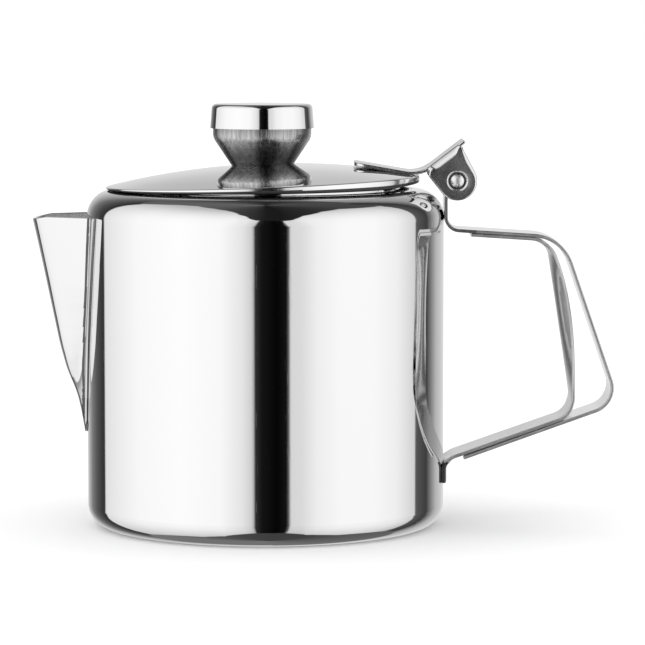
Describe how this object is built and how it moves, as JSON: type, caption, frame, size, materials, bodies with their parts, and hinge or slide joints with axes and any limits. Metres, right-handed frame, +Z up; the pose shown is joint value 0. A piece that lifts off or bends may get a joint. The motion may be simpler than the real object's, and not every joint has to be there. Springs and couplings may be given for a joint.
{
  "type": "hinged-lid teapot",
  "caption": "Cylindrical polished-steel teapot with a folded V spout, a bent strip handle and a knobbed lid that swings open on a pin hinge.",
  "frame": {"origin": "centre of the flat base, on the table", "axes": "+Z up along the pot's axis, +X towards the handle and the hinge, -X towards the spout, XZ is the plane of symmetry"},
  "size_m": [0.1464, 0.09, 0.1065],
  "materials": {
    "polished_steel": "mirror-polished stainless steel",
    "strip_steel": "bright-rolled stainless strip with plain cut edges",
    "satin_steel": "satin, turned on a lathe",
    "hinge_steel": "dull tumbled steel",
    "fastener_steel": "plain machined steel"
  },
  "bodies": {
    "pot": {"body_shell": "polished_steel", "spout": "polished_steel", "handle_outer_strip": "strip_steel", "handle_inner_strip": "strip_steel"},
    "lid": {"lid_cover": "polished_steel", "lid_skirt": "polished_steel", "hinge_plate": "hinge_steel", "hinge_pin": "fastener_steel", "knob_cap": "polished_steel", "knob_bowl": "satin_steel", "knob_stud": "fastener_steel", "knob_washer": "fastener_steel", "knob_nut": "fastener_steel"}
  },
  "joints": [
    {"name": "lid_hinge", "type": "hinge", "parent": "pot", "child": "lid", "pos_m": [0.0481, 0, 0.08745], "axis": [0, 1, 0], "range_deg": [0, 175]}
  ]
}
